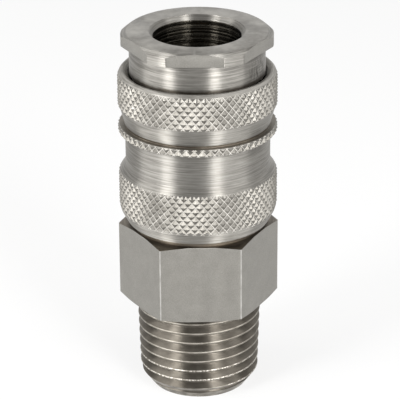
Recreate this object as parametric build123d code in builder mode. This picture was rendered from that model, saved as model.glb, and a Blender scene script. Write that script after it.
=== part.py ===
from build123d import *
import math
import os

os.makedirs("parts", exist_ok=True)

# Pneumatic quick coupling, socket half, in millimetres.
# The axis is Z, with the face of the threaded end at z = 0 and the plug mouth at the top.
# It is drawn uncoupled: the sleeve is latched back on the balls, and the valve is shut.

# Clearances
running_fit = 0.05          # piston in its bore, ball in its hole
guide_fit = 0.1             # sleeve on the boss and on the guide of the front body
screw_fit = 0.03            # screwed joints, with their threads left plain
ball_gap = 0.06             # ball to the ramp of the sleeve, all through the travel
ball_rest_gap = 0.15        # ball to the piston that holds it out
seal_gap = 0.02             # valve seal to its seat, before it is squeezed
groove_gap = 0.05           # plug seal to the sides of its groove
coil_gap = 0.1              # spring to the walls beside it
end_turn_gap = 0.04         # between the closed turns of a spring
stop_gap = 0.2              # left at the end of the sleeve's travel
edge_break = 0.3            # small turned chamfers

# Adapter, threaded end: 1/2 inch taper pipe thread
thread_gauge_radius = 10.4775
thread_gauge_length = 8.2   # small end to the plane of the gauge radius
thread_taper = 1 / 32       # growth of the radius along the length
thread_length = 16.2        # end face to the underside of the hexagon
lead_in_length = 2.6
lead_in_drop = 1.9
passage_radius = 5.5

# Adapter, hexagon and boss
hex_step = 0.5              # flats beyond the boss: bar of 23.8, for a 24 mm spanner
hex_height = 13.95
hex_chamfer_angle = 15      # from the end planes
boss_height = 6.6
counterbore_depth = 8.5     # boss top to the end of the front body's tail
spring_pocket_depth = 4.0

# Sleeve, outside, counted up from its back
sleeve_gap = 0.85           # back of the sleeve to the hexagon
knurl_wall = 1.54           # over the recess for the balls
rear_wall = 0.7             # over the bore
rear_chamfer_length = 1.9
rear_edge_length = 1.1
lower_band_length = 5.55
lower_band_edge = 0.55
waist_shoulder_length = 1.25
waist_wall = 0.8
waist_length = 5.8
ring_length = 1.3
groove_wall = 0.9
groove_floor_length = 0.3
cone_length = 2.95
upper_band_edge = 0.4
upper_band_length = 4.7
front_edge_length = 0.7
front_wall = 1.0            # over the lip
front_bevel_length = 0.45

# Sleeve, inside
sleeve_travel = 4.2
spring_shoulder_width = 0.5         # from the land out to the bore
spring_shoulder_depth = 12.95       # from the front face
lip_length = 1.45
lip_bevel = 0.4
mouth_face_width = 0.3
mouth_chamfer_height = 0.5

# Front body
tube_step = 0.55            # tube over the guide
tube_mouth_gap = 0.3        # tube to the lip of the sleeve
tube_step_depth = 0.5       # below the front face of the sleeve
head_thickness = 2.23
head_corner_reach = 0.9     # turned corners, beyond the flats
head_chamfer_angle = 30     # from the top face
head_turn = -3.2            # where the head stops as its thread comes tight
tail_shoulder = 0.4
tail_wall = 1.3
plug_bore_radius = 7.45
plug_bore_depth = 7.4       # mouth to the step above the balls
piston_bore_step = 0.2
mouth_flare = 0.66
mouth_flare_depth = 0.85

# Locking balls
ball_radius = 2.25
ball_count = 8
ball_travel = 0.9
ball_plane_depth = 3.15     # below the front face of the sleeve
cone_seat_height = 0.65     # end of each ball hole, so that no ball drops in
cone_seat_slope = 0.5

# Seals
plug_seal_wire = 1.6
plug_seal_drop = 4.25       # below the balls
body_seal_wire = 1.0
valve_seal_thickness = 1.2

# Valve
seat_drop = 10.22           # below the balls
seat_overlap = 0.75         # of the seal on the seat
flow_gap = 1.0              # around the head of the valve
neck_step = 0.5
piston_wall = 1.8
port_count = 6
port_radius = 1.7
port_web = 0.7              # metal between the seat and the ports
valve_head_thickness = 1.5
pilot_length = 1.5
spigot_length = 1.7
driver_slot_width = 1.2
driver_slot_depth = 1.0

# Springs
sleeve_spring_wire = 0.9
sleeve_spring_half_turns = 7
spring_washer_thickness = 0.5
valve_spring_wire = 1.1
valve_spring_half_turns = 11
pocket_gap = 0.95           # valve spring to the tail and the pocket around it

# Heights, from the thread up
hex_top_z = thread_length + hex_height
boss_top_z = hex_top_z + boss_height
tail_end_z = boss_top_z - counterbore_depth
counterbore_z = tail_end_z - body_seal_wire
pocket_floor_z = counterbore_z - spring_pocket_depth
sleeve_back_z = hex_top_z + sleeve_gap
lower_band_z = sleeve_back_z + rear_chamfer_length + rear_edge_length
waist_shoulder_z = lower_band_z + lower_band_length + lower_band_edge
waist_z = waist_shoulder_z + waist_shoulder_length
ring_z = waist_z + waist_length
ring_top_z = ring_z + ring_length
cone_z = ring_top_z + groove_floor_length
cone_top_z = cone_z + cone_length
upper_band_z = cone_top_z + upper_band_edge
upper_band_top_z = upper_band_z + upper_band_length
front_edge_z = upper_band_top_z + front_edge_length
sleeve_front_z = front_edge_z + front_bevel_length
spring_shoulder_z = sleeve_front_z - spring_shoulder_depth
ball_plane_z = sleeve_front_z - ball_plane_depth
tube_step_z = sleeve_front_z - tube_step_depth
guide_z = spring_shoulder_z + sleeve_travel + stop_gap
head_z = sleeve_front_z + sleeve_travel + stop_gap
mouth_z = head_z + head_thickness
plug_bore_z = mouth_z - plug_bore_depth
seat_z = ball_plane_z - seat_drop
plug_seal_z = ball_plane_z - plug_seal_drop
washer_z = spring_shoulder_z - spring_washer_thickness

# Valve, from the bore out
piston_bore_radius = plug_bore_radius - piston_bore_step
piston_radius = piston_bore_radius - running_fit
piston_inner_radius = piston_radius - piston_wall
neck_radius = piston_radius - neck_step
valve_head_radius = piston_bore_radius + seat_overlap
chamber_radius = valve_head_radius + flow_gap

# Path of a ball: out at rest, and in once the land of the sleeve has passed over it
ball_out_radius = piston_radius + ball_rest_gap + ball_radius
ball_in_radius = ball_out_radius - ball_travel
ball_angles = [360 / ball_count * (index + 0.5) for index in range(ball_count)]

# Radii that follow from the balls, from the sleeve in to the valve spring and out to the hexagon
land_radius = ball_in_radius + ball_radius + running_fit
guide_radius = land_radius - guide_fit
tube_radius = guide_radius + tube_step
lip_radius = tube_radius + tube_mouth_gap
sleeve_bore_radius = land_radius + spring_shoulder_width
spring_body_radius = sleeve_bore_radius - sleeve_spring_wire - 2 * coil_gap
tail_radius = spring_body_radius - tail_shoulder
counterbore_radius = tail_radius + screw_fit
pocket_radius = tail_radius - tail_wall
valve_spring_radius = pocket_radius - pocket_gap - valve_spring_wire / 2
pilot_radius = valve_spring_radius - valve_spring_wire / 2 - coil_gap
boss_radius = sleeve_bore_radius - guide_fit
hex_apothem = boss_radius + hex_step

# The ramp inside the sleeve lies parallel to that path, as the sleeve sees it
ramp_slope = ball_travel / sleeve_travel
recess_radius = ball_out_radius + ball_radius * math.hypot(1, ramp_slope) + ball_gap
ramp_length = (recess_radius - land_radius) / ramp_slope


def radial_plane(angle, height, radius=0):
    """Plane that faces away from the axis, at an angle, height and radius."""
    x = math.cos(math.radians(angle))
    y = math.sin(math.radians(angle))
    return Plane(origin=(radius * x, radius * y, height), z_dir=(x, y, 0))


def thread_radius(height):
    """Radius over the crests of the taper thread, at a height above the end face."""
    return thread_gauge_radius + (height - thread_gauge_length) * thread_taper


# Adapter: a hexagon bar, with the taper thread below and the boss above
hex_corner_radius = hex_apothem / math.cos(math.pi / 6)
hex_corner_drop = (hex_corner_radius - hex_apothem) * math.tan(math.radians(hex_chamfer_angle))

with BuildPart() as adapter:
    with BuildSketch(Plane.XY.offset(thread_length)):
        RegularPolygon(hex_apothem, 6, major_radius=False)
    extrude(amount=hex_height)
    with BuildSketch(Plane.XZ):
        with BuildLine():
            Polyline(
                (0, thread_length),
                (hex_apothem, thread_length),
                (hex_corner_radius, thread_length + hex_corner_drop),
                (hex_corner_radius, hex_top_z - hex_corner_drop),
                (hex_apothem, hex_top_z),
                (0, hex_top_z),
                close=True,
            )
        make_face()
    revolve(axis=Axis.Z, mode=Mode.INTERSECT)
    with BuildSketch(Plane.XZ):
        with BuildLine():
            Polyline(
                (0, 0),
                (thread_radius(lead_in_length) - lead_in_drop, 0),
                (thread_radius(lead_in_length), lead_in_length),
                (thread_radius(thread_length), thread_length),
                (thread_radius(thread_length), hex_top_z),
                (boss_radius, hex_top_z),
                (boss_radius, boss_top_z - edge_break),
                (boss_radius - edge_break, boss_top_z),
                (0, boss_top_z),
                close=True,
            )
        make_face()
    revolve(axis=Axis.Z)
    with BuildSketch(Plane.XZ):
        with BuildLine():
            Polyline(
                (0, 0),
                (passage_radius + edge_break, 0),
                (passage_radius, edge_break),
                (passage_radius, pocket_floor_z),
                (pocket_radius, pocket_floor_z),
                (pocket_radius, counterbore_z),
                (counterbore_radius, counterbore_z),
                (counterbore_radius, boss_top_z),
                (0, boss_top_z),
                close=True,
            )
        make_face()
    revolve(axis=Axis.Z, mode=Mode.SUBTRACT)

adapter.part.label = "adapter"
export_step(adapter.part, "parts/adapter.step")


# Front body: head, tube, ball cage and valve chamber, turned in one piece
head_corner_radius = hex_apothem + head_corner_reach
head_chamfer_drop = head_corner_reach * math.tan(math.radians(head_chamfer_angle))

with BuildPart() as front_body:
    with BuildSketch(Plane.XY.offset(head_z)):
        RegularPolygon(hex_apothem, 6, major_radius=False, rotation=head_turn)
    extrude(amount=head_thickness)
    with BuildSketch(Plane.XZ):
        with BuildLine():
            Polyline(
                (0, head_z),
                (head_corner_radius, head_z),
                (head_corner_radius, mouth_z - head_chamfer_drop),
                (hex_apothem, mouth_z),
                (0, mouth_z),
                close=True,
            )
        make_face()
    revolve(axis=Axis.Z, mode=Mode.INTERSECT)
    with BuildSketch(Plane.XZ):
        with BuildLine():
            Polyline(
                (0, tail_end_z),
                (tail_radius - edge_break, tail_end_z),
                (tail_radius, tail_end_z + edge_break),
                (tail_radius, boss_top_z),
                (spring_body_radius, boss_top_z),
                (spring_body_radius, guide_z),
                (guide_radius - edge_break, guide_z),
                (guide_radius, guide_z + edge_break),
                (guide_radius, tube_step_z),
                (tube_radius, tube_step_z),
                (tube_radius, head_z),
                (0, head_z),
                close=True,
            )
        make_face()
    revolve(axis=Axis.Z)
    with BuildSketch(Plane.XZ):
        with BuildLine():
            Polyline(
                (0, tail_end_z),
                (pocket_radius, tail_end_z),
                (pocket_radius, boss_top_z),
                (chamber_radius, boss_top_z),
                (chamber_radius, seat_z),
                (piston_bore_radius, seat_z),
                (piston_bore_radius, plug_bore_z),
                (plug_bore_radius, plug_bore_z),
                (plug_bore_radius, mouth_z - mouth_flare_depth),
                (plug_bore_radius + mouth_flare, mouth_z),
                (0, mouth_z),
                close=True,
            )
        make_face()
    revolve(axis=Axis.Z, mode=Mode.SUBTRACT)
    with BuildSketch(Plane.XZ):
        with Locations((piston_bore_radius + plug_seal_wire / 2, plug_seal_z)):
            Rectangle(plug_seal_wire + 2 * groove_gap, plug_seal_wire + 2 * groove_gap)
    revolve(axis=Axis.Z, mode=Mode.SUBTRACT)
    # The ball holes narrow to a cone seat where they break into the bore
    hole_radius = ball_radius + running_fit
    seat_top_radius = piston_bore_radius + cone_seat_height
    seat_depth = cone_seat_height + edge_break
    for angle in ball_angles:
        with BuildSketch(radial_plane(angle, ball_plane_z, seat_top_radius)):
            Circle(hole_radius)
        extrude(amount=tube_radius - seat_top_radius, mode=Mode.SUBTRACT)
        with BuildSketch(radial_plane(angle, ball_plane_z, seat_top_radius)):
            Circle(hole_radius)
        with BuildSketch(radial_plane(angle, ball_plane_z, seat_top_radius - seat_depth)):
            Circle(hole_radius - cone_seat_slope * seat_depth)
        loft(mode=Mode.SUBTRACT)

front_body.part.label = "front_body"
export_step(front_body.part, "parts/front_body.step")


# Sleeve: one turned piece, whose two bands and narrow ring carry the knurl
knurl_radius = recess_radius + knurl_wall
knurl_edge_radius = knurl_radius - edge_break
rear_radius = sleeve_bore_radius + rear_wall
waist_radius = sleeve_bore_radius + waist_wall
groove_radius = sleeve_bore_radius + groove_wall
front_radius = lip_radius + front_wall
lip_base_z = sleeve_front_z - lip_length
ring_edge = edge_break

with BuildPart() as sleeve:
    with BuildSketch(Plane.XZ):
        with BuildLine():
            Polyline(
                (sleeve_bore_radius + edge_break, sleeve_back_z),
                (rear_radius, sleeve_back_z),
                (knurl_edge_radius, sleeve_back_z + rear_chamfer_length),
                (knurl_radius, lower_band_z),
                (knurl_radius, lower_band_z + lower_band_length),
                (knurl_edge_radius, waist_shoulder_z),
                (waist_radius, waist_z),
                (waist_radius, ring_z),
                (knurl_edge_radius, ring_z),
                (knurl_radius, ring_z + ring_edge),
                (knurl_radius, ring_top_z - ring_edge),
                (knurl_edge_radius, ring_top_z),
                (groove_radius, ring_top_z),
                (groove_radius, cone_z),
                (knurl_edge_radius, cone_top_z),
                (knurl_radius, upper_band_z),
                (knurl_radius, upper_band_top_z),
                (knurl_edge_radius, front_edge_z),
                (front_radius, sleeve_front_z),
                (front_radius - mouth_face_width, sleeve_front_z),
                (lip_radius, sleeve_front_z - mouth_chamfer_height),
                (lip_radius, lip_base_z),
                (recess_radius, lip_base_z - lip_bevel),
                (recess_radius, ball_plane_z),
                (land_radius, ball_plane_z - ramp_length),
                (land_radius, spring_shoulder_z),
                (sleeve_bore_radius, spring_shoulder_z),
                (sleeve_bore_radius, sleeve_back_z + edge_break),
                close=True,
            )
        make_face()
    revolve(axis=Axis.Z)

sleeve.part.label = "sleeve"
export_step(sleeve.part, "parts/sleeve.step")


# Locking balls, held out by the collar of the valve piston
for index, angle in enumerate(ball_angles):
    with BuildPart(radial_plane(angle, ball_plane_z, ball_out_radius)) as locking_ball:
        Sphere(ball_radius)
    locking_ball.part.label = f"locking_ball_{index + 1}"
    export_step(locking_ball.part, f"parts/locking_ball_{index + 1}.step")


# Valve piston: an open tube, with side ports just above the seat
seal_top_z = seat_z - seal_gap
valve_head_top_z = seal_top_z - valve_seal_thickness
port_z = seat_z + port_web + port_radius

with BuildPart() as valve_piston:
    with BuildSketch(Plane.XZ):
        with BuildLine():
            Polyline(
                (piston_inner_radius, valve_head_top_z),
                (neck_radius, valve_head_top_z),
                (neck_radius, seal_top_z),
                (piston_radius, seal_top_z + neck_step),
                (piston_radius, ball_plane_z - edge_break),
                (piston_radius - edge_break, ball_plane_z),
                (piston_inner_radius + edge_break, ball_plane_z),
                (piston_inner_radius, ball_plane_z - edge_break),
                close=True,
            )
        make_face()
    revolve(axis=Axis.Z)
    for index in range(port_count):
        with BuildSketch(radial_plane(360 / port_count * index, port_z)):
            Circle(port_radius)
        extrude(amount=piston_radius + edge_break, mode=Mode.SUBTRACT)

valve_piston.part.label = "valve_piston"
export_step(valve_piston.part, "parts/valve_piston.step")


# Valve head: its spigot screws into the piston and clamps the seal, its pilot centres the spring
valve_head_z = valve_head_top_z - valve_head_thickness
pilot_z = valve_head_z - pilot_length
spigot_radius = piston_inner_radius - screw_fit

with BuildPart() as valve_head:
    with BuildSketch(Plane.XZ):
        with BuildLine():
            Polyline(
                (0, pilot_z),
                (pilot_radius - edge_break, pilot_z),
                (pilot_radius, pilot_z + edge_break),
                (pilot_radius, valve_head_z),
                (valve_head_radius, valve_head_z),
                (valve_head_radius, valve_head_top_z),
                (spigot_radius, valve_head_top_z),
                (spigot_radius, valve_head_top_z + spigot_length - edge_break),
                (spigot_radius - edge_break, valve_head_top_z + spigot_length),
                (0, valve_head_top_z + spigot_length),
                close=True,
            )
        make_face()
    revolve(axis=Axis.Z)
    with BuildSketch(Plane.XY.offset(pilot_z)):
        Rectangle(2 * pilot_radius, driver_slot_width)
    extrude(amount=driver_slot_depth, mode=Mode.SUBTRACT)

valve_head.part.label = "valve_head"
export_step(valve_head.part, "parts/valve_head.step")


# Valve seal: a ring with rounded edges, clamped around the neck of the piston
with BuildPart() as valve_seal:
    with BuildSketch(Plane.XZ):
        with Locations(((neck_radius + valve_head_radius) / 2, (valve_head_top_z + seal_top_z) / 2)):
            RectangleRounded(valve_head_radius - neck_radius, valve_seal_thickness, edge_break)
    revolve(axis=Axis.Z)

valve_seal.part.label = "valve_seal"
export_step(valve_seal.part, "parts/valve_seal.step")


# Plug seal: an O-ring in its groove below the balls, where it closes on the plug
with BuildPart() as plug_seal:
    with BuildSketch(Plane.XZ):
        with Locations((piston_bore_radius + plug_seal_wire / 2, plug_seal_z)):
            Circle(plug_seal_wire / 2)
    revolve(axis=Axis.Z)

plug_seal.part.label = "plug_seal"
export_step(plug_seal.part, "parts/plug_seal.step")


# Body seal: an O-ring under the tail of the front body, in the counterbore of the adapter
with BuildPart() as body_seal:
    with BuildSketch(Plane.XZ):
        with Locations((tail_radius - body_seal_wire / 2, counterbore_z + body_seal_wire / 2)):
            Circle(body_seal_wire / 2)
    revolve(axis=Axis.Z)

body_seal.part.label = "body_seal"
export_step(body_seal.part, "parts/body_seal.step")


# Spring washer: a flat ring that lets the sleeve turn without winding its spring
with BuildPart() as spring_washer:
    with BuildSketch(Plane.XY.offset(washer_z)):
        Circle(sleeve_bore_radius - coil_gap)
        Circle(spring_body_radius + coil_gap, mode=Mode.SUBTRACT)
    extrude(amount=spring_washer_thickness)

spring_washer.part.label = "spring_washer"
export_step(spring_washer.part, "parts/spring_washer.step")


def wind_spring(bottom, top, coil_radius, wire, half_turns):
    """Compression spring of tilted half turns. Its ends lie flat, with the next turn closed on them."""
    end_rise = wire + end_turn_gap
    active_length = top - bottom - wire - 2 * end_rise
    active_rises = [active_length / (half_turns - 4)] * (half_turns - 4)
    height = bottom + wire / 2
    with BuildPart() as spring:
        for index, rise in enumerate([0, end_rise] + active_rises + [end_rise, 0]):
            side = 1 if index % 2 == 0 else -1
            with BuildSketch(Plane(origin=(side * coil_radius, 0, height), z_dir=(0, side, 0))):
                Circle(wire / 2)
            middle = (0, 0, height + rise / 2)
            revolve(axis=Axis(middle, (side * rise / 2, 0, coil_radius)), revolution_arc=180)
            height += rise
    return spring.part


# Sleeve spring: from the boss of the adapter to the washer
sleeve_spring = wind_spring(
    boss_top_z,
    washer_z,
    (spring_body_radius + sleeve_bore_radius) / 2,
    sleeve_spring_wire,
    sleeve_spring_half_turns,
)
sleeve_spring.label = "sleeve_spring"
export_step(sleeve_spring, "parts/sleeve_spring.step")

# Valve spring: from the pocket in the adapter to the head of the valve
valve_spring = wind_spring(
    pocket_floor_z,
    valve_head_z,
    valve_spring_radius,
    valve_spring_wire,
    valve_spring_half_turns,
)
valve_spring.label = "valve_spring"
export_step(valve_spring, "parts/valve_spring.step")
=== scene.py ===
import math

import bpy
from mathutils import Matrix, Vector


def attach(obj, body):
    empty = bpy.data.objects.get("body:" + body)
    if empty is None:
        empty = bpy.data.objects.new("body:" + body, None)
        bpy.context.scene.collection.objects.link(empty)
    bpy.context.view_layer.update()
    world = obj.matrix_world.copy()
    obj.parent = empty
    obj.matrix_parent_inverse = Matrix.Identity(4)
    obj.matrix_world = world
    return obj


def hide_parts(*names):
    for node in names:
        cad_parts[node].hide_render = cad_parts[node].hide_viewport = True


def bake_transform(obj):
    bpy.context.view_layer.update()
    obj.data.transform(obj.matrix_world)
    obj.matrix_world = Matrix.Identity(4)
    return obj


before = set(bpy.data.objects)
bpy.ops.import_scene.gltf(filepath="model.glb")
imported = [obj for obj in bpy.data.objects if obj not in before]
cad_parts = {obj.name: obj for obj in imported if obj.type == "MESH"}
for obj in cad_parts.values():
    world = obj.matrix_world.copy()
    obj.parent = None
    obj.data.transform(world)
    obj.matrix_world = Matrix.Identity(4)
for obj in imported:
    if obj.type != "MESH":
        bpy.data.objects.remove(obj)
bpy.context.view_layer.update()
print("frame loaded")

mm = 0.001

# points nearer than this, in m, become one: on an outline, after a cut, and in the slivers of a cut
weldValues = {"outline": 1e-7, "cut": 1e-6, "sliver": 2e-6}

# a rounded edge has this many rows of faces, and turns by at least this many degrees
edgeValues = {"segments": 2, "angle": 12}

# the flats of a hexagon are this many degrees apart, and its corners lie half-way
flatStep = 60

# when a face gets its finish, differences in mm that don't count
slackValues = {"fine": 0.01, "coarse": 0.05}

# and what the z part of its normal, or how far that leans sideways, says of it
leanValues = {"upright": 0.1, "sideways": 0.15, "sloping": 0.3, "rising": 0.5, "level": 0.95}


# Tools for shapes

def takeHold(piece):
    # only this piece is selected, and it is the active one
    bpy.ops.object.select_all(action="DESELECT")
    piece.select_set(True)
    bpy.context.view_layer.objects.active = piece


def weld(distance):
    # in edit mode, over the whole mesh
    bpy.ops.mesh.select_all(action="SELECT")
    bpy.ops.mesh.remove_doubles(threshold=distance)


def faceOutwards():
    # in edit mode, over the whole mesh, which is then left
    bpy.ops.mesh.select_all(action="SELECT")
    bpy.ops.mesh.normals_make_consistent(inside=False)
    bpy.ops.object.mode_set(mode="OBJECT")


def traceOutline(name, points, lift=0.0):
    # edges through points of (radius, height) in mm, raised by lift, and left in edit mode
    bpy.ops.object.select_all(action="DESELECT")
    bpy.ops.mesh.primitive_plane_add(size=mm)
    piece = bpy.context.object
    piece.name = name
    piece.data.name = name
    bpy.ops.object.mode_set(mode="EDIT")
    bpy.ops.mesh.select_all(action="SELECT")
    bpy.ops.mesh.merge(type="CENTER")
    bpy.ops.mesh.select_all(action="SELECT")
    radius, height = points[0]
    bpy.ops.transform.translate(value=(radius * mm, 0, (lift + height) * mm))
    for nextRadius, nextHeight in points[1:]:
        move = ((nextRadius - radius) * mm, 0, (nextHeight - height) * mm)
        bpy.ops.mesh.extrude_vertices_move(TRANSFORM_OT_translate={"value": move})
        radius, height = nextRadius, nextHeight
    return piece


def turnOutline(name, outline, steps, edgeRound=0.0):
    # a closed outline of (radius, height) in mm, its corners rounded, is spun once round the axis
    piece = traceOutline(name, outline + outline[:1])
    weld(weldValues["outline"])
    if edgeRound:
        bpy.ops.mesh.bevel(offset=edgeRound * mm, segments=edgeValues["segments"], affect="VERTICES",
                           clamp_overlap=True)
    bpy.ops.mesh.select_all(action="SELECT")
    bpy.ops.mesh.spin(steps=steps, angle=2 * math.pi, center=(0, 0, 0), axis=(0, 0, 1))
    weld(weldValues["outline"])
    bpy.ops.mesh.delete_loose()
    faceOutwards()
    return piece


def cornerRadius(apothem):
    return apothem / math.cos(math.radians(flatStep / 2))


def hexagonBar(name, apothem, bottom, top, turn=0.0):
    # a hexagon prism in mm, with two flats square to Y before it is turned
    bpy.ops.object.select_all(action="DESELECT")
    bpy.ops.mesh.primitive_cylinder_add(
        vertices=6,
        radius=cornerRadius(apothem) * mm,
        depth=(top - bottom) * mm,
        location=(0, 0, (top + bottom) / 2 * mm),
        rotation=(0, 0, math.radians(flatStep / 2 + turn)),
    )
    bar = bpy.context.object
    bar.name = name
    bpy.ops.object.transform_apply(location=True, rotation=True, scale=True)
    return bar


def combine(piece, tool, operation):
    # the tool is used up, and slivers are cleared so that the mesh stays closed
    takeHold(piece)
    step = piece.modifiers.new("combine", "BOOLEAN")
    step.operation = operation
    step.solver = "EXACT"
    step.object = tool
    bpy.ops.object.modifier_apply(modifier=step.name)
    bpy.data.objects.remove(tool, do_unlink=True)
    bpy.ops.object.mode_set(mode="EDIT")
    bpy.ops.mesh.select_all(action="SELECT")
    bpy.ops.mesh.dissolve_degenerate(threshold=weldValues["sliver"])
    weld(weldValues["cut"])
    bpy.ops.object.mode_set(mode="OBJECT")


def softenEdges(piece, width):
    takeHold(piece)
    step = piece.modifiers.new("soften", "BEVEL")
    step.width = width * mm
    step.segments = edgeValues["segments"]
    step.limit_method = "ANGLE"
    step.angle_limit = math.radians(edgeValues["angle"])
    step.use_clamp_overlap = True
    bpy.ops.object.modifier_apply(modifier=step.name)


def smoothShade(piece, angle):
    takeHold(piece)
    bpy.ops.object.shade_smooth_by_angle(angle=math.radians(angle))


# Tools for finishes

# most of a noise lies between these
noiseLow, noiseHigh = 0.3, 0.7


def startFinish(name, roughness, anisotropy=0.0):
    finish = bpy.data.materials.new(name)
    finish.use_nodes = True
    tree = finish.node_tree
    shader = tree.nodes["Principled BSDF"]
    shader.inputs["Metallic"].default_value = 1.0
    shader.inputs["Roughness"].default_value = roughness
    shader.inputs["Anisotropic"].default_value = anisotropy
    if anisotropy:
        tangent = tree.nodes.new("ShaderNodeTangent")
        tangent.direction_type = "RADIAL"
        tangent.axis = "Z"
        tree.links.new(tangent.outputs[0], shader.inputs["Tangent"])
        # a quarter turn, so that light is drawn out across the tool lines
        shader.inputs["Anisotropic Rotation"].default_value = 0.25
    return finish, tree, shader


def placeInMm(tree, stretch=(1, 1, 1)):
    # object coordinates in mm, drawn out or pressed together along each axis
    place = tree.nodes.new("ShaderNodeTexCoord")
    mapping = tree.nodes.new("ShaderNodeMapping")
    mapping.inputs["Scale"].default_value = [s / mm for s in stretch]
    tree.links.new(place.outputs["Object"], mapping.inputs["Vector"])
    return mapping.outputs["Vector"]


def splitPlace(tree):
    # X, Y and Z in mm
    place = tree.nodes.new("ShaderNodeSeparateXYZ")
    tree.links.new(placeInMm(tree), place.inputs[0])
    return place.outputs


def addNoise(tree, vector, scale, detail, roughness=0.5):
    noise = tree.nodes.new("ShaderNodeTexNoise")
    noise.inputs["Scale"].default_value = scale
    noise.inputs["Detail"].default_value = detail
    noise.inputs["Roughness"].default_value = roughness
    tree.links.new(vector, noise.inputs["Vector"])
    return noise.outputs["Fac"]


def addRamp(tree, factor, stops):
    ramp = tree.nodes.new("ShaderNodeValToRGB")
    while len(ramp.color_ramp.elements) < len(stops):
        ramp.color_ramp.elements.new(0.5)
    for element, (position, colour) in zip(ramp.color_ramp.elements, stops):
        element.position = position
        element.color = (*colour, 1)
    tree.links.new(factor, ramp.inputs["Fac"])
    return ramp.outputs["Color"]


def addRange(tree, value, fromLow, fromHigh, toLow, toHigh):
    step = tree.nodes.new("ShaderNodeMapRange")
    sockets = ("From Min", "From Max", "To Min", "To Max")
    for socket, number in zip(sockets, (fromLow, fromHigh, toLow, toHigh)):
        step.inputs[socket].default_value = number
    tree.links.new(value, step.inputs["Value"])
    return step.outputs["Result"]


def addMath(tree, operation, first, second=0.0):
    step = tree.nodes.new("ShaderNodeMath")
    step.operation = operation
    for socket, value in zip(step.inputs, (first, second)):
        if isinstance(value, (int, float)):
            socket.default_value = value
        else:
            tree.links.new(value, socket)
    return step.outputs[0]


def addShares(tree, first, second, share):
    # share of the first, and the rest of the second
    firstPart = addMath(tree, "MULTIPLY", first, share)
    secondPart = addMath(tree, "MULTIPLY", second, 1 - share)
    return addMath(tree, "ADD", firstPart, secondPart)


def addTone(tree, shader, tone, values):
    # the colour goes from dark to light over this range of the tone
    low, high = values["toneRange"]
    colour = addRamp(tree, tone, [(low, values["dark"]), (high, values["light"])])
    tree.links.new(colour, shader.inputs["Base Color"])


def addGloss(tree, shader, noise, values):
    # the roughness goes a little below and above its value, with a noise
    below, above = values["roughnessSpread"]
    low, high = values["roughness"] - below, values["roughness"] + above
    rough = addRange(tree, noise, noiseLow, noiseHigh, low, high)
    tree.links.new(rough, shader.inputs["Roughness"])


def addBump(tree, shader, height, strength, depth):
    # depth in mm; it builds on a bump that is already there
    bump = tree.nodes.new("ShaderNodeBump")
    bump.inputs["Strength"].default_value = strength
    bump.inputs["Distance"].default_value = depth * mm
    tree.links.new(height, bump.inputs["Height"])
    normal = shader.inputs["Normal"]
    if normal.is_linked:
        tree.links.new(normal.links[0].from_socket, bump.inputs["Normal"])
    tree.links.new(bump.outputs["Normal"], normal)


def addColourMark(tree, shader, mark, colour):
    # where mark is 1 the base colour gives way to this one; it paints the shade at the sleeve's lip and
    # the dark strokes on the tube
    mix = tree.nodes.new("ShaderNodeMix")
    mix.data_type = "RGBA"
    # these of its sockets are the ones for colours
    firstColour, secondColour, mixedColour = mix.inputs[6], mix.inputs[7], mix.outputs[2]
    base = shader.inputs["Base Color"]
    tree.links.new(mark, mix.inputs["Factor"])
    tree.links.new(base.links[0].from_socket, firstColour)
    secondColour.default_value = (*colour, 1)
    tree.links.new(mixedColour, base)


# Turned steel and brass

turnedValues = {
    "dark": (0.205, 0.195, 0.177),
    "light": (0.385, 0.37, 0.34),
    "toneRange": (0.38, 0.6),
    "roughness": 0.47,
    "roughnessSpread": (0.04, 0.05),
    "anisotropy": 1.0,
    "lineScale": 7.0,       # tool lines per mm
    "lineDetail": 2.0,
    "lineStrength": 0.5,
    "lineDepth": 0.004,
    "strokeStretch": (0.16, 0.16, 5.0),
    "strokeDetail": 4.0,
    "strokeRoughness": 0.65,
    "strokeShare": 0.8,     # of the tone; clouds are the rest
    "strokeStrength": 0.35,
    "strokeDepth": 0.004,
    "cloudScale": 0.35,
    "cloudDetail": 3.0,
}

# the end face draws its highlights out less, and its lighter colour is painted light on the face that
# looks up
litFaceValues = dict(
    turnedValues,
    dark=(0.225, 0.214, 0.195),
    light=(0.42, 0.404, 0.372),
    roughness=0.44,
    anisotropy=0.35,
)

# the sleeve's rim is as dark as the rest, but hardly draws its highlights out
rimValues = dict(turnedValues, roughness=0.52, anisotropy=0.15)

# the waist is lighter and duller
waistValues = dict(
    turnedValues,
    dark=(0.25, 0.239, 0.218),
    light=(0.42, 0.404, 0.374),
    roughness=0.54,
)

# painted shade: the ledge over the narrow ring is painted dark, a little lighter than a recess
ledgeShadeValues = dict(
    turnedValues,
    dark=(0.12, 0.108, 0.091),
    light=(0.22, 0.202, 0.173),
    roughness=0.45,
    anisotropy=0.5,
)

# painted shade: steel in recesses and under the sleeve is painted dark
recessShadeValues = dict(
    turnedValues,
    dark=(0.09, 0.076, 0.06),
    light=(0.19, 0.165, 0.132),
    roughness=0.4,
    anisotropy=0.3,
    lineScale=6.0,
)

# painted shade: the bore is painted dark, with deep rings
boreShadeValues = dict(
    turnedValues,
    dark=(0.011, 0.01, 0.008),
    light=(0.062, 0.056, 0.045),
    roughness=0.25,
    lineScale=1.6,
    lineDepth=0.8,
)

brassValues = dict(
    turnedValues,
    dark=(0.4, 0.28, 0.1),
    light=(0.56, 0.41, 0.17),
    roughness=0.28,
    anisotropy=0.5,
)

# dark upright strokes on the right of the tube, places and lengths in mm
darkStrokeValues = {
    "spot": (10.1, -5.3, 59.2),
    "reach": 3.7,
    "core": 0.4,            # share of the reach where they are full
    "strokeStretch": (4.0, 4.0, 0.6),
    "strokeDetail": 2.0,
    "strokeRange": (0.5, 0.58),
    "strength": 0.75,
    "colour": (0.03, 0.025, 0.02),
}
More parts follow.
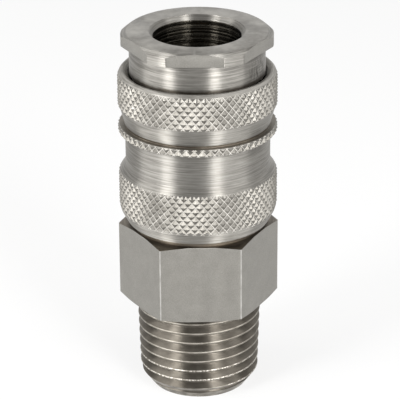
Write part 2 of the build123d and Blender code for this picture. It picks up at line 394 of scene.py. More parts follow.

# painted shade: a dark line with an uneven edge, round the tube where the sleeve's lip ends, heights in
# mm
lipShadeValues = {
    "darkBelow": 58.05,
    "clearAbove": 58.45,
    "uneven": 0.4,
    "unevenScale": 0.8,
    "unevenDetail": 3.0,
    "strength": 0.85,
    "colour": (0.045, 0.035, 0.024),
}


def toolLines(tree):
    # rings left by the turning tool: they follow height on a cylinder and radius on an end face
    place = splitPlace(tree)
    squares = [addMath(tree, "POWER", place[axis], 2.0) for axis in ("X", "Y")]
    radius = addMath(tree, "SQRT", addMath(tree, "ADD", *squares))
    return addMath(tree, "ADD", radius, place["Z"])


def turnedFinish(name, values):
    finish, tree, shader = startFinish(name, values["roughness"], values["anisotropy"])
    line = tree.nodes.new("ShaderNodeTexNoise")
    line.noise_dimensions = "1D"
    line.inputs["Scale"].default_value = values["lineScale"]
    line.inputs["Detail"].default_value = values["lineDetail"]
    tree.links.new(toolLines(tree), line.inputs["W"])
    strokePlace = placeInMm(tree, values["strokeStretch"])
    strokes = addNoise(tree, strokePlace, 1.0, values["strokeDetail"], values["strokeRoughness"])
    cloud = addNoise(tree, placeInMm(tree), values["cloudScale"], values["cloudDetail"])
    addTone(tree, shader, addShares(tree, strokes, cloud, values["strokeShare"]), values)
    addGloss(tree, shader, cloud, values)
    addBump(tree, shader, line.outputs["Fac"], values["lineStrength"], values["lineDepth"])
    addBump(tree, shader, strokes, values["strokeStrength"], values["strokeDepth"])
    return finish


def addDarkStrokes(finish):
    v = darkStrokeValues
    tree = finish.node_tree
    away = tree.nodes.new("ShaderNodeVectorMath")
    away.operation = "DISTANCE"
    tree.links.new(placeInMm(tree), away.inputs[0])
    away.inputs[1].default_value = v["spot"]
    near = addRange(tree, away.outputs["Value"], v["reach"], v["reach"] * v["core"], 0.0, 1.0)
    noise = addNoise(tree, placeInMm(tree, v["strokeStretch"]), 1.0, v["strokeDetail"])
    strokes = addRange(tree, noise, *v["strokeRange"], 0.0, 1.0)
    mark = addMath(tree, "MULTIPLY", addMath(tree, "MULTIPLY", near, strokes), v["strength"])
    addColourMark(tree, tree.nodes["Principled BSDF"], mark, v["colour"])


# paints shade round the tube where it meets the sleeve's lip
def addLipShade(finish):
    v = lipShadeValues
    tree = finish.node_tree
    noise = addNoise(tree, placeInMm(tree), v["unevenScale"], v["unevenDetail"])
    uneven = addMath(tree, "MULTIPLY", noise, v["uneven"])
    height = addMath(tree, "ADD", splitPlace(tree)["Z"], uneven)
    mark = addRange(tree, height, v["darkBelow"], v["clearAbove"], v["strength"], 0.0)
    addColourMark(tree, tree.nodes["Principled BSDF"], mark, v["colour"])


turnedSteel = turnedFinish("turnedSteel", turnedValues)
tubeSteel = turnedFinish("tubeSteel", turnedValues)
addDarkStrokes(tubeSteel)
# painted shade where the tube meets the sleeve's lip
addLipShade(tubeSteel)
litFaceSteel = turnedFinish("litFaceSteel", litFaceValues)
rimSteel = turnedFinish("rimSteel", rimValues)
waistSteel = turnedFinish("waistSteel", waistValues)
ledgeShadeSteel = turnedFinish("ledgeShadeSteel", ledgeShadeValues)
recessShadeSteel = turnedFinish("recessShadeSteel", recessShadeValues)
boreShadeSteel = turnedFinish("boreShadeSteel", boreShadeValues)
valveBrass = turnedFinish("valveBrass", brassValues)


# Drawn steel of the flats

hexagonValues = {
    "dark": (0.24, 0.231, 0.21),
    "light": (0.325, 0.313, 0.287),
    "toneRange": (0.33, 0.67),
    "roughness": 0.42,
    "roughnessSpread": (0.02, 0.02),
    "grainScale": 12.0,     # per mm
    "grainStretch": (1, 1, 0.35),
    "grainDetail": 2.0,
    "grainShare": 0.7,      # of the tone; clouds are the rest
    "grainStrength": 0.4,
    "grainDepth": 0.004,
    "cloudScale": 0.5,
    "cloudDetail": 4.0,
}


def drawnFinish(name, values):
    finish, tree, shader = startFinish(name, values["roughness"])
    grainPlace = placeInMm(tree, values["grainStretch"])
    grain = addNoise(tree, grainPlace, values["grainScale"], values["grainDetail"])
    cloud = addNoise(tree, placeInMm(tree), values["cloudScale"], values["cloudDetail"])
    addTone(tree, shader, addShares(tree, grain, cloud, values["grainShare"]), values)
    addGloss(tree, shader, cloud, values)
    addBump(tree, shader, grain, values["grainStrength"], values["grainDepth"])
    return finish


hexagonSteel = drawnFinish("hexagonSteel", hexagonValues)


# Cut steel of the thread

threadValues = {
    "dark": (0.15, 0.135, 0.113),
    "light": (0.22, 0.2, 0.17),
    "toneRange": (0.35, 0.65),
    "roughness": 0.44,
    "roughnessSpread": (0.05, 0.08),
    "anisotropy": 1.0,
    "tearScale": 5.0,       # torn metal, per mm
    "tearStretch": (1, 1, 1.6),
    "tearDetail": 3.0,
    "tearRoughness": 0.6,
    "tearStrength": 0.4,
    "tearDepth": 0.0015,
    "cloudScale": 0.4,
    "cloudDetail": 3.0,
}


def threadFinish(name, values):
    finish, tree, shader = startFinish(name, values["roughness"], values["anisotropy"])
    tearPlace = placeInMm(tree, values["tearStretch"])
    tear = addNoise(tree, tearPlace, values["tearScale"], values["tearDetail"], values["tearRoughness"])
    cloud = addNoise(tree, placeInMm(tree), values["cloudScale"], values["cloudDetail"])
    addTone(tree, shader, cloud, values)
    addGloss(tree, shader, tear, values)
    addBump(tree, shader, tear, values["tearStrength"], values["tearDepth"])
    return finish


threadSteel = threadFinish("threadSteel", threadValues)


# Steel with a fine grain: the knurl, worn edges, crests, springs and balls

grainyValues = {
    "toneRange": (0.35, 0.65),
    "roughnessSpread": (0.04, 0.06),
    "patchScale": 0.6,      # per mm, as is grainScale
    "noiseDetail": 3.0,
    "grainStrength": 0.4,
}
knurlValues = dict(
    grainyValues,
    dark=(0.19, 0.18, 0.161),
    light=(0.26, 0.248, 0.225),
    roughness=0.47,
    grainScale=4.0,
    grainDepth=0.002,
)
# painted highlight: the knurl's groove bottoms are painted light, as thin bright lines
grooveHighlightValues = dict(
    grainyValues,
    dark=(0.42, 0.403, 0.37),
    light=(0.68, 0.657, 0.61),
    roughness=0.45,
    grainScale=4.0,
    grainDepth=0.004,
)
wornValues = dict(
    grainyValues,
    dark=(0.4, 0.389, 0.366),
    light=(0.56, 0.547, 0.52),
    roughness=0.35,
    grainScale=5.0,
    grainDepth=0.004,
)
# painted highlight: the thread's crests are painted lighter, as thin bright lines
crestHighlightValues = dict(
    grainyValues,
    dark=(0.17, 0.155, 0.132),
    light=(0.33, 0.308, 0.27),
    roughness=0.4,
    grainScale=4.0,
    grainDepth=0.01,
)

# the crests of the first turns are torn, and their glints are painted highlight in a light colour
tornGlintValues = dict(
    grainyValues,
    dark=(0.18, 0.163, 0.138),
    light=(0.66, 0.63, 0.575),
    toneRange=(0.42, 0.68),
    roughness=0.4,
    patchScale=3.1,
    grainScale=6.0,
    grainDepth=0.04,
)
springValues = dict(
    grainyValues,
    dark=(0.3, 0.29, 0.27),
    light=(0.42, 0.41, 0.39),
    roughness=0.3,
    grainScale=6.0,
    grainDepth=0.003,
)
ballValues = dict(
    grainyValues,
    dark=(0.5, 0.49, 0.47),
    light=(0.6, 0.59, 0.57),
    roughness=0.12,
    grainScale=8.0,
    grainDepth=0.001,
)


def grainyFinish(name, values):
    finish, tree, shader = startFinish(name, values["roughness"])
    grain = addNoise(tree, placeInMm(tree), values["grainScale"], values["noiseDetail"])
    patches = addNoise(tree, placeInMm(tree), values["patchScale"], values["noiseDetail"])
    addTone(tree, shader, patches, values)
    addGloss(tree, shader, grain, values)
    addBump(tree, shader, grain, values["grainStrength"], values["grainDepth"])
    return finish


knurledSteel = grainyFinish("knurledSteel", knurlValues)
grooveHighlightSteel = grainyFinish("grooveHighlightSteel", grooveHighlightValues)
wornSteel = grainyFinish("wornSteel", wornValues)
crestHighlightSteel = grainyFinish("crestHighlightSteel", crestHighlightValues)
tornGlintSteel = grainyFinish("tornGlintSteel", tornGlintValues)
springSteel = grainyFinish("springSteel", springValues)
ballSteel = grainyFinish("ballSteel", ballValues)


# Rubber of the seals

rubberValues = {
    "dark": (0.012, 0.012, 0.012),
    "light": (0.03, 0.029, 0.028),
    "toneRange": (0.35, 0.65),
    "roughness": 0.55,
    "cloudScale": 3.0,
    "cloudDetail": 4.0,
    "cloudStrength": 0.3,
    "cloudDepth": 0.01,
}


def rubberFinish(name, values):
    finish, tree, shader = startFinish(name, values["roughness"])
    shader.inputs["Metallic"].default_value = 0.0
    cloud = addNoise(tree, placeInMm(tree), values["cloudScale"], values["cloudDetail"])
    addTone(tree, shader, cloud, values)
    addBump(tree, shader, cloud, values["cloudStrength"], values["cloudDepth"])
    return finish


sealRubber = rubberFinish("sealRubber", rubberValues)
print("finishes made")


def paint(piece, finishes, choose):
    # choose gives a face its finish, from its radius and height in mm,
    # its normal, and how far that leans sideways
    piece.data.materials.clear()
    for finish in finishes:
        piece.data.materials.append(finish)
    for face in piece.data.polygons:
        spot = face.center / mm
        across = math.hypot(spot.x, spot.y)
        sideways = abs(face.normal.x * spot.y - face.normal.y * spot.x) / across
        face.material_index = finishes.index(choose(across, spot.z, face.normal, sideways))


def offFlat(normal, turn=0.0):
    # degrees between a normal and the nearest flat of a hexagon that is turned so far
    angle = (math.degrees(math.atan2(normal.y, normal.x)) - turn) % flatStep
    return abs(angle - flatStep / 2)


# Adapter: hexagon, taper thread and boss

# lengths and places in mm, angles in degrees, outlines as (radius, height)
adapterValues = {
    "steps": 192,
    "hexApothem": 11.9,
    "hexBottom": 16.2,
    "hexTop": 30.15,
    "cornerDrop": 0.493,        # what the facing takes off the corners
    "facingRoom": (0.02, 0.001),        # the facing tool is so much wider and higher than the bar
    "edgeRound": 0.14,
    "bossRadius": 11.4,
    "bossRoot": 1.0,            # how far it starts inside the hexagon
    "bossTop": 36.75,
    "bossChamfer": 0.3,
    "gaugeRadius": 10.4775,
    "gaugeHeight": 8.2,
    "taper": 1 / 32,            # radius gained for each mm up
    "pitch": 1.814,
    "crestHeight": 11.87,       # of one crest, on the +X side
    "crestRound": 0.249,
    "threadDepth": 1.162,
    "flankAngle": 27.5,
    "threadSteps": 120,         # in each turn
    "rodReach": 0.6,            # how far the threaded rod runs past both ends
    "shankReach": 0.4,          # how far it is kept inside the hexagon
    "endRadius": 8.403,
    "leadIn": 2.6,
    "boreOutline": [
        (0, -1), (5.8, -1), (5.8, 0), (5.5, 0.3), (5.5, 23.25), (8.7, 23.25), (8.7, 27.25),
        (10.03, 27.25), (10.03, 38), (0, 38)],
    "boreReach": 10.1,          # what is nearer to the axis is the bore
    "tornHeight": 6.4,          # crests are torn, with painted glints, below this
    "crestBand": 0.09,          # crests are painted lighter to this depth, as a highlight
    "flatSpread": 3,            # a normal nearer to a flat's own belongs to it
    "smoothAngle": 32,
}


def threadRadius(height):
    v = adapterValues
    return v["gaugeRadius"] + (height - v["gaugeHeight"]) * v["taper"]


def threadOutline():
    # one turn of the thread from root to root, round at root and crest, with its crest at height 0
    v = adapterValues
    crestRadius, rounding = threadRadius(0), v["crestRound"]
    rootRadius = crestRadius - v["threadDepth"]
    reach = 90 - v["flankAngle"]
    half = []
    for share in (1.0, 0.5, 0.0):       # root, from the flank down to its lowest point
        angle = math.radians(reach * share)
        radius = rootRadius + rounding * (1 - math.cos(angle))
        half.append((radius, v["pitch"] / 2 - rounding * math.sin(angle)))
    crest = []
    for share in (-1, -0.67, -0.33, 0, 0.33, 0.67, 1):
        angle = math.radians(reach * share)
        crest.append((crestRadius - rounding * (1 - math.cos(angle)), rounding * math.sin(angle)))
    lower = [(radius, -height) for radius, height in reversed(half)]
    return lower + crest + half


def makeThreadRod(bottom, top):
    # the outline is screwed up past both ends, tapered and cut off
    v = adapterValues
    turnsBelow = math.ceil((v["crestHeight"] - bottom) / v["pitch"]) + 1
    turns = turnsBelow + math.ceil((top - v["crestHeight"]) / v["pitch"]) + 1
    start = v["crestHeight"] - turnsBelow * v["pitch"]
    rod = traceOutline("threadRod", threadOutline(), start)
    bpy.ops.object.mode_set(mode="OBJECT")
    screw = rod.modifiers.new("thread", "SCREW")
    screw.axis = "Z"
    screw.angle = 2 * math.pi
    screw.screw_offset = v["pitch"] * mm
    screw.iterations = turns
    screw.steps = v["threadSteps"]
    screw.render_steps = v["threadSteps"]
    screw.use_merge_vertices = False
    bpy.ops.object.modifier_apply(modifier=screw.name)
    heights = [vertex.co.z for vertex in rod.data.vertices]
    taper = rod.modifiers.new("taper", "SIMPLE_DEFORM")
    taper.deform_method = "TAPER"
    taper.deform_axis = "Z"
    taper.factor = v["taper"] / (threadRadius(0) * mm) * (max(heights) - min(heights))
    bpy.ops.object.modifier_apply(modifier=taper.name)
    bpy.ops.object.mode_set(mode="EDIT")
    weld(weldValues["cut"])
    for height, clearUp in ((bottom, False), (top, True)):
        bpy.ops.mesh.select_all(action="SELECT")
        bpy.ops.mesh.bisect(plane_co=(0, 0, height * mm), plane_no=(0, 0, 1), use_fill=True,
                            clear_outer=clearUp, clear_inner=not clearUp,
                            threshold=weldValues["outline"])
    faceOutwards()
    return rod


def makeAdapter():
    v = adapterValues
    wider, higher = v["facingRoom"]
    corner = cornerRadius(v["hexApothem"]) + wider
    adapter = hexagonBar("adapterHexagon", v["hexApothem"], v["hexBottom"], v["hexTop"])
    softenEdges(adapter, v["edgeRound"])
    facing = turnOutline("hexagonFacing", [
        (0, v["hexBottom"] - higher),
        (v["hexApothem"], v["hexBottom"] - higher),
        (corner, v["hexBottom"] + v["cornerDrop"]),
        (corner, v["hexTop"] - v["cornerDrop"]),
        (v["hexApothem"], v["hexTop"] + higher),
        (0, v["hexTop"] + higher)], v["steps"])
    combine(adapter, facing, "INTERSECT")
    boss = turnOutline("adapterBoss", [
        (0, v["hexTop"] - v["bossRoot"]),
        (v["bossRadius"], v["hexTop"] - v["bossRoot"]),
        (v["bossRadius"], v["bossTop"] - v["bossChamfer"]),
        (v["bossRadius"] - v["bossChamfer"], v["bossTop"]),
        (0, v["bossTop"])], v["steps"])
    combine(adapter, boss, "UNION")
    rod = makeThreadRod(-v["rodReach"], v["hexBottom"] + v["rodReach"])
    shankTop = v["hexBottom"] + v["shankReach"]
    shank = turnOutline("threadShank", [
        (0, 0),
        (v["endRadius"], 0),
        (threadRadius(v["leadIn"]), v["leadIn"]),
        (threadRadius(shankTop), shankTop),
        (0, shankTop)], v["steps"])
    combine(rod, shank, "INTERSECT")
    combine(adapter, rod, "UNION")
    combine(adapter, turnOutline("adapterBore", v["boreOutline"], v["steps"]), "DIFFERENCE")
    adapter.name = "adapterDressed"
    adapter.data.name = "adapterDressed"
    smoothShade(adapter, v["smoothAngle"])

    def choose(across, height, normal, sideways):
        if height < v["hexBottom"] - slackValues["fine"]:
            slope = (threadRadius(v["leadIn"]) - v["endRadius"]) / v["leadIn"]
            outside = min(threadRadius(height), v["endRadius"] + height * slope)
            if across < outside - v["crestBand"]:
                return threadSteel
            return tornGlintSteel if v["leadIn"] < height < v["tornHeight"] else crestHighlightSteel
        # painted shade on the hexagon's top and on the faces that look up under the sleeve
        isTop = height > v["hexTop"] - slackValues["coarse"]
        isFacing = normal.z > leanValues["rising"]
        if isTop or isFacing:
            return recessShadeSteel
        if across < v["boreReach"]:
            return turnedSteel
        isFlat = offFlat(normal) < v["flatSpread"]
        isUnderside = abs(normal.z) > leanValues["sloping"]
        return hexagonSteel if isFlat or isUnderside else wornSteel

    finishes = [hexagonSteel, threadSteel, turnedSteel, recessShadeSteel, wornSteel, crestHighlightSteel, tornGlintSteel]
    paint(adapter, finishes, choose)
    return adapter


adapter = makeAdapter()
print("adapter made", len(adapter.data.polygons))


# Front body: head, tube, ball cage and valve chamber

# lengths and places in mm, angles in degrees, outlines as (radius, height)
frontBodyValues = {
    "steps": 192,
    "headApothem": 11.9,
    "headCorner": 12.8,
    "headTurn": -3.2,
    "headBottom": 62.35,
    "headReach": 0.5,           # how far tube, head bar and facing tool run past each other
    "mouth": 64.58,
    "chamferDrop": 0.52,
    "edgeRound": 0.06,
    "tubeRadius": 11.45,
    "cageOutline": [            # up to the tube
        (0, 28.25), (9.7, 28.25), (10.0, 28.55), (10.0, 36.75), (10.4, 36.75), (10.4, 49.4),
        (10.6, 49.4), (10.9, 49.7), (10.9, 57.45)],
    "chamberOutline": [         # up to the bore for the plug
        (0, 27), (8.7, 27), (8.7, 36.75), (9.0, 36.75), (9.0, 44.58), (7.25, 44.58),
        (7.25, 49.7), (8.9, 49.7), (8.9, 51.4), (7.25, 51.4), (7.25, 57.18)],
    "plugBoreRadius": 7.45,
    "plugBoreTop": 63.73,
    "mouthRadius": 8.11,
    "cutRadius": 8.25,          # of the tool, which runs on above the mouth
    "cutRise": 0.1,
    "cutTop": 66,
    "boreReach": 0.86,          # the bore's painted shade starts so far below the mouth
    "ballCount": 8,
    "ballHeight": 54.8,
    "ballHoleSteps": 48,
    "ballHoleOutline": [        # of its tool, seen along the hole
        (0, 6.95), (1.825, 6.95), (2.3, 7.9), (2.3, 12.5), (0, 12.5)],
    "flatSpread": 1,            # a normal nearer to a flat's own belongs to it
    "smoothAngle": 32,
}


def makeFrontBody():
    v = frontBodyValues
    tubeBottom, tubeTop = v["cageOutline"][-1][1], v["headBottom"] + v["headReach"]
    tubeOutline = v["cageOutline"] + [
        (v["tubeRadius"], tubeBottom), (v["tubeRadius"], tubeTop), (0, tubeTop)]
    body = turnOutline("frontBodyTube", tubeOutline, v["steps"])
    barTop = v["mouth"] + v["headReach"]
    head = hexagonBar("head", v["headApothem"], v["headBottom"], barTop, v["headTurn"])
    softenEdges(head, v["edgeRound"])
    facing = turnOutline("headFacing", [
        (0, v["headBottom"] - v["headReach"]),
        (v["headCorner"], v["headBottom"] - v["headReach"]),
        (v["headCorner"], v["mouth"] - v["chamferDrop"]),
        (v["headApothem"], v["mouth"]),
        (0, v["mouth"])], v["steps"])
    combine(head, facing, "INTERSECT")
    combine(body, head, "UNION")
    boreOutline = v["chamberOutline"] + [
        (v["plugBoreRadius"], v["chamberOutline"][-1][1]),
        (v["plugBoreRadius"], v["plugBoreTop"]),
        (v["mouthRadius"], v["mouth"]),
        (v["cutRadius"], v["mouth"] + v["cutRise"]),
        (v["cutRadius"], v["cutTop"]),
        (0, v["cutTop"])]
    combine(body, turnOutline("frontBodyBore", boreOutline, v["steps"]), "DIFFERENCE")
    for index in range(v["ballCount"]):
        hole = turnOutline("ballHole", v["ballHoleOutline"], v["ballHoleSteps"])
        turn = math.radians(360 / v["ballCount"] * (index + 0.5))
        hole.data.transform(
            Matrix.Translation((0, 0, v["ballHeight"] * mm)) @ Matrix.Rotation(turn, 4, "Z")
            @ Matrix.Rotation(math.pi / 2, 4, "Y"))
        combine(body, hole, "DIFFERENCE")
    body.name = "frontBodyDressed"
    body.data.name = "frontBodyDressed"
    smoothShade(body, v["smoothAngle"])

    def choose(across, height, normal, sideways):
        slack = slackValues["coarse"]
        # painted shade inside the bore
        if height < v["mouth"] - v["boreReach"] and across < v["plugBoreRadius"] + slack:
            return boreShadeSteel
        if height < v["headBottom"]:
            return tubeSteel if abs(across - v["tubeRadius"]) < slack else turnedSteel
        isOutside = across > v["tubeRadius"] + slack
        isUpright = abs(normal.z) < leanValues["upright"]
        if isOutside and isUpright and offFlat(normal, v["headTurn"]) < v["flatSpread"]:
            return hexagonSteel
        # painted light: faces that look up get the lighter end-face steel
        return litFaceSteel if normal.z > leanValues["level"] else turnedSteel

    paint(body, [turnedSteel, hexagonSteel, boreShadeSteel, tubeSteel, litFaceSteel], choose)
    return body


frontBody = makeFrontBody()
print("front body made", len(frontBody.data.polygons))


# Sleeve: turned stock, and a knurl rolled over all of it that only the bands keep

# lengths and places in mm, outline as (radius, height)
sleeveValues = {
    "steps": 244,
    "outline": [
        (11.8, 31.0), (12.2, 31.0), (13.2, 32.9), (13.5, 34.0), (13.5, 39.55), (13.2, 40.1),
        (12.3, 41.35), (12.3, 47.15), (13.2, 47.15), (13.5, 47.45), (13.5, 48.15), (13.2, 48.45),
        (12.4, 48.45), (12.4, 48.75), (13.2, 51.7), (13.5, 52.1), (13.5, 56.8), (13.2, 57.5),
        (12.75, 57.95), (12.45, 57.95), (11.75, 57.45), (11.75, 56.5), (11.961, 56.1),
        (11.961, 54.8), (11.0, 50.315), (11.0, 45.0), (11.5, 45.0), (11.5, 31.3)],
    "edgeRound": 0.05,
    "knurlStarts": 61,
    "knurlRow": 0.784,
    "knurlBottom": 30.2,
    "knurlRows": 37,
    "knurlTurn": 0.2207,        # degrees per mm of height
    "valleyRadius": 13.19,
    "peakRadius": 13.535,
    "grooveHalf": 0.06,
    "smoothAngle": 12,
}

# where the sleeve's finishes begin and end, in mm
sleevePlaces = {
    "insideReach": 11.6,
    "bandEdge": 13.2,
    "ledge": (48.3, 48.47),
    "recess": (48.47, 48.9),
    "waist": (41.3, 47.2),
    "waistReach": 12.4,
    "rimBottom": 57.45,
    "knurlDepth": 0.1,          # what is no deeper than this under the valleys can be knurl
    "grooveBand": 0.12,         # a groove is so near to the valleys
}


def select(parts, isChosen):
    # a mesh's corners, edges or faces, in object mode
    for part in parts:
        part.select = isChosen(part)


def isNothing(part):
    return False


def makeKnurlRod():
    v = sleeveValues
    columns = 2 * v["knurlStarts"]
    bpy.ops.object.select_all(action="DESELECT")
    bpy.ops.mesh.primitive_circle_add(vertices=columns, radius=v["valleyRadius"] * mm, fill_type="NGON",
                                      location=(0, 0, v["knurlBottom"] * mm))
    rod = bpy.context.object
    mesh = rod.data
    rod.name = "knurlRod"
    bpy.ops.object.transform_apply(location=True)
    bpy.ops.object.mode_set(mode="EDIT")
    bpy.ops.mesh.select_all(action="SELECT")
    for row in range(v["knurlRows"]):
        bpy.ops.mesh.extrude_region_move(TRANSFORM_OT_translate={"value": (0, 0, v["knurlRow"] * mm)})
    bpy.ops.object.mode_set(mode="OBJECT")
    # every other corner is a peak, moved by one in each row
    isPeak = []
    for vertex in mesh.vertices:
        column = round(math.atan2(-vertex.co.x, vertex.co.y) / (2 * math.pi) * columns)
        row = round((vertex.co.z / mm - v["knurlBottom"]) / v["knurlRow"])
        isPeak.append((column + row) % 2 == 0)
    select(mesh.edges, isNothing)
    select(mesh.polygons, isNothing)
    select(mesh.vertices, lambda vertex: isPeak[vertex.index])
    bpy.ops.object.mode_set(mode="EDIT")
    bpy.ops.mesh.select_mode(type="VERT")
    grow = v["peakRadius"] / v["valleyRadius"]
    bpy.ops.transform.resize(value=(grow, grow, 1), center_override=(0, 0, 0))
    bpy.ops.object.mode_set(mode="OBJECT")
    select(mesh.polygons, lambda face: len(face.vertices) == 4)
    bpy.ops.object.mode_set(mode="EDIT")
    bpy.ops.mesh.select_mode(type="FACE")
    bpy.ops.mesh.quads_convert_to_tris(quad_method="SHORTEST_DIAGONAL")
    bpy.ops.object.mode_set(mode="OBJECT")
    # the grooves run from valley to valley
    select(mesh.vertices, isNothing)
    select(mesh.polygons, isNothing)
    select(mesh.edges, lambda edge: not any(isPeak[index] for index in edge.vertices))
    bpy.ops.object.mode_set(mode="EDIT")
    bpy.ops.mesh.select_mode(type="EDGE")
    bpy.ops.mesh.bevel(offset=v["grooveHalf"] * mm, segments=1, affect="EDGES")
    bpy.ops.object.mode_set(mode="OBJECT")
    twist = rod.modifiers.new("twist", "SIMPLE_DEFORM")
    twist.deform_method = "TWIST"
    twist.deform_axis = "Z"
    twist.angle = math.radians(v["knurlTurn"] * v["knurlRow"] * v["knurlRows"])
    takeHold(rod)
    bpy.ops.object.modifier_apply(modifier=twist.name)
    return rod


def makeSleeve():
    v, places = sleeveValues, sleevePlaces
    sleeve = turnOutline("sleeveDressed", v["outline"], v["steps"], v["edgeRound"])
    combine(sleeve, makeKnurlRod(), "INTERSECT")
    smoothShade(sleeve, v["smoothAngle"])

    def isAt(place, height):
        low, high = places[place]
        return low < height < high

    def choose(across, height, normal, sideways):
        isStepped = across < places["bandEdge"]
        # painted shade inside the sleeve and in its recess
        if across < places["insideReach"] or isStepped and isAt("recess", height):
            return recessShadeSteel
        # painted shade on the ledge over the narrow ring
        if isStepped and isAt("ledge", height):
            return ledgeShadeSteel
        if sideways > leanValues["sideways"] and across > v["valleyRadius"] - places["knurlDepth"]:
            return knurledSteel
        if height > places["rimBottom"]:
            return rimSteel
        if isAt("waist", height) and across < places["waistReach"]:
            return waistSteel
        # painted highlight along the knurl's grooves
        isGroove = abs(across - v["valleyRadius"]) < places["grooveBand"]
        return grooveHighlightSteel if isGroove and abs(normal.z) < leanValues["sideways"] else turnedSteel

    finishes = [turnedSteel, knurledSteel, recessShadeSteel, grooveHighlightSteel, ledgeShadeSteel, rimSteel, waistSteel]
    paint(sleeve, finishes, choose)
    return sleeve


sleeve = makeSleeve()
print("sleeve made", len(sleeve.data.polygons))


# Springs: copies of the CAD springs, welded and smooth shaded

springSmoothAngle = 40


def copySpring(node, name):
    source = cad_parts[node]
    spring = source.copy()
    spring.data = source.data.copy()
    spring.name = name
    spring.data.name = name
    spring.parent = None
    spring.matrix_world = Matrix.Identity(4)
    bpy.context.scene.collection.objects.link(spring)
    takeHold(spring)
    bpy.ops.object.mode_set(mode="EDIT")
    weld(weldValues["cut"])
    faceOutwards()
    smoothShade(spring, springSmoothAngle)
    spring.data.materials.clear()
    spring.data.materials.append(springSteel)
    return spring


sleeveSpring = copySpring("sleeve_spring", "sleeveSpringDressed")
valveSpring = copySpring("valve_spring", "valveSpringDressed")
print("springs made")


# The pieces that keep their own solids

def dress(node, finish):
    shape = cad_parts[node]
    shape.data.materials.clear()
    shape.data.materials.append(finish)


for index in range(frontBodyValues["ballCount"]):
    dress(f"locking_ball_{index + 1}", ballSteel)
for seal in ("valve_seal", "plug_seal", "body_seal"):
    dress(seal, sealRubber)
dress("valve_piston", valveBrass)
dress("valve_head", valveBrass)
dress("spring_washer", springSteel)


# Where each piece rides

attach(adapter, "socket_body")
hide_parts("adapter")
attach(frontBody, "socket_body")
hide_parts("front_body")
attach(sleeve, "sleeve_body")
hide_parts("sleeve")
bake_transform(sleeveSpring)
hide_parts("sleeve_spring")
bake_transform(valveSpring)
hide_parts("valve_spring")
print("pieces ride")


# Floor and background

def addSeenByEye(tree):
    # 1 for what the camera, metal and glass see, 0 for what lights a dull surface
    path = tree.nodes.new("ShaderNodeLightPath")
    rays = [path.outputs[f"Is {kind} Ray"] for kind in ("Camera", "Glossy", "Transmission")]
    return addMath(tree, "MAXIMUM", rays[0], addMath(tree, "MAXIMUM", rays[1], rays[2]))


floorValues = {"size": 6.0, "colour": (0.95, 0.95, 0.945), "roughness": 0.9, "glow": 0.7}


def makeFloor():
    # part of its white is its own, so that its shadow stays but is light
    bpy.ops.object.select_all(action="DESELECT")
    bpy.ops.mesh.primitive_plane_add(size=floorValues["size"], location=(0, 0, 0))
    floor = bpy.context.object
    floor.name = "floor"
    finish = bpy.data.materials.new("floorWhite")
    finish.use_nodes = True
    tree = finish.node_tree
    shader = tree.nodes["Principled BSDF"]
    shader.inputs["Base Color"].default_value = (*floorValues["colour"], 1)
    shader.inputs["Roughness"].default_value = floorValues["roughness"]
    shader.inputs["Specular IOR Level"].default_value = 0.0
    white = tree.nodes.new("ShaderNodeEmission")
    mix = tree.nodes.new("ShaderNodeMixShader")
    glow = addMath(tree, "MULTIPLY", addSeenByEye(tree), floorValues["glow"])
    tree.links.new(glow, mix.inputs["Fac"])
    tree.links.new(shader.outputs[0], mix.inputs[1])
    tree.links.new(white.outputs[0], mix.inputs[2])
    tree.links.new(mix.outputs[0], tree.nodes["Material Output"].inputs["Surface"])
    floor.data.materials.append(finish)


# the walls end and the ceiling begins at these degrees above the horizon
skyValues = {"ambient": 0.62, "ceiling": 0.3, "wallTop": 45.0, "ceilingEdge": 65.0}


def makeBackground():
    # white walls under a grey ceiling; as light on a dull surface they are weaker
    world = bpy.data.worlds.new("studio")
    bpy.context.scene.world = world
    world.use_nodes = True
    tree = world.node_tree
    tree.nodes.clear()
    place = tree.nodes.new("ShaderNodeTexCoord")
    direction = tree.nodes.new("ShaderNodeSeparateXYZ")
    tree.links.new(place.outputs["Generated"], direction.inputs[0])
    low, high = (math.sin(math.radians(skyValues[key])) for key in ("wallTop", "ceilingEdge"))
    shade = addRange(tree, direction.outputs["Z"], low, high, 1.0, skyValues["ceiling"])
    ambient = tree.nodes.new("ShaderNodeBackground")
    ambient.inputs["Strength"].default_value = skyValues["ambient"]
    white = tree.nodes.new("ShaderNodeBackground")
    for background in (ambient, white):
        tree.links.new(shade, background.inputs["Color"])
    mix = tree.nodes.new("ShaderNodeMixShader")
    tree.links.new(addSeenByEye(tree), mix.inputs["Fac"])
    tree.links.new(ambient.outputs[0], mix.inputs[1])
    tree.links.new(white.outputs[0], mix.inputs[2])
    output = tree.nodes.new("ShaderNodeOutputWorld")
    tree.links.new(mix.outputs[0], output.inputs["Surface"])


# Camera and lamps

# angles in degrees, other places and lengths in mm
cameraValues = {
    "lens": 212.06,
    "sensorWidth": 36,
    "distance": 404.485,
    "elevation": 23.832,
    "azimuth": 268.33,
    "targetHeight": 33.709,
    "targetRight": 0.303,
    "roll": -0.3776,
    "clip": (10, 20000),
}

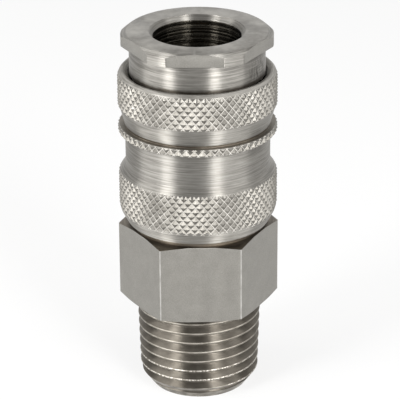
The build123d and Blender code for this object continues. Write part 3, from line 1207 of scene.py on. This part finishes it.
# all lamps aim at one height in mm, stand at one elevation in degrees, and have one length in m
lampSetting = {"aimHeight": 35, "elevation": 18, "length": 0.42}

# azimuth in degrees to the right of the camera, distance and width in m, power in W
lampValues = {
    "left": {"azimuth": -48, "distance": 0.55, "width": 0.16, "power": 2.3},
    "leftFill": {"azimuth": -79, "distance": 0.6, "width": 0.42, "power": 1.7},
    "right": {"azimuth": 29, "distance": 0.55, "width": 0.15, "power": 2.2},
    "rightFill": {"azimuth": 61, "distance": 0.6, "width": 0.46, "power": 1.6},
}


def directionTo(azimuth, elevation):
    turn, rise = math.radians(azimuth), math.radians(elevation)
    return Vector((math.cos(turn) * math.cos(rise), math.sin(turn) * math.cos(rise), math.sin(rise)))


def makeLamps():
    aim = Vector((0, 0, lampSetting["aimHeight"] * mm))
    for name, v in lampValues.items():
        away = directionTo(cameraValues["azimuth"] + v["azimuth"], lampSetting["elevation"])
        lamp = bpy.data.lights.new(name, "AREA")
        lamp.shape = "RECTANGLE"
        lamp.size = v["width"]
        lamp.size_y = lampSetting["length"]
        lamp.energy = v["power"]
        holder = bpy.data.objects.new(name, lamp)
        holder.location = aim + away * v["distance"]
        holder.rotation_euler = away.to_track_quat("Z", "Y").to_euler()
        bpy.context.scene.collection.objects.link(holder)


def makeCamera():
    v = cameraValues
    away = directionTo(v["azimuth"], v["elevation"])
    right = Vector((0, 0, 1)).cross(away).normalized()
    target = Vector((0, 0, v["targetHeight"] * mm)) + right * v["targetRight"] * mm
    lens = bpy.data.cameras.new("camera")
    lens.lens = v["lens"]
    lens.sensor_width = v["sensorWidth"]
    lens.clip_start, lens.clip_end = (distance * mm for distance in v["clip"])
    holder = bpy.data.objects.new("camera", lens)
    facing = away.to_track_quat("Z", "Y").to_matrix().to_4x4()
    holder.matrix_world = (Matrix.Translation(target + away * v["distance"] * mm) @ facing
                           @ Matrix.Rotation(math.radians(v["roll"]), 4, "Z"))
    bpy.context.scene.collection.objects.link(holder)
    bpy.context.scene.camera = holder


makeFloor()
makeBackground()
makeLamps()
makeCamera()
bpy.context.scene.view_settings.view_transform = "Standard"
print("studio made")
